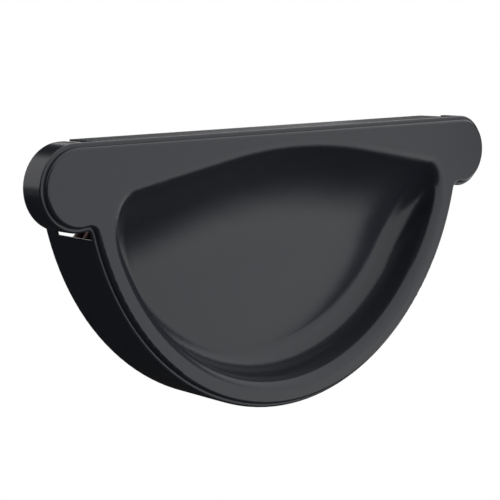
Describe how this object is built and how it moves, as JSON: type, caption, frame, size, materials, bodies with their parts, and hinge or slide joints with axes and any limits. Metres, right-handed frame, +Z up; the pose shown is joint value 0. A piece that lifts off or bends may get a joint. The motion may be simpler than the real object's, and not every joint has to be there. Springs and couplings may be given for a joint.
{
  "type": "gutter end cap",
  "caption": "Half-round gutter end cap pressed from one coated steel sheet, with a dished recess, round bead ears, folded skirts and a lipped rubber seal in the groove behind its rim.",
  "frame": {"origin": "centre of the half round, in the plane of the front face", "axes": "+X across the gutter, +Y from the front face back along the gutter, +Z up"},
  "size_m": [0.1878, 0.0224, 0.086],
  "materials": {
    "coated_steel": "satin",
    "seal_rubber": "matte"
  },
  "bodies": {
    "root": {"pressed_cap": "coated_steel", "rubber_seal": "seal_rubber"}
  },
  "joints": []
}
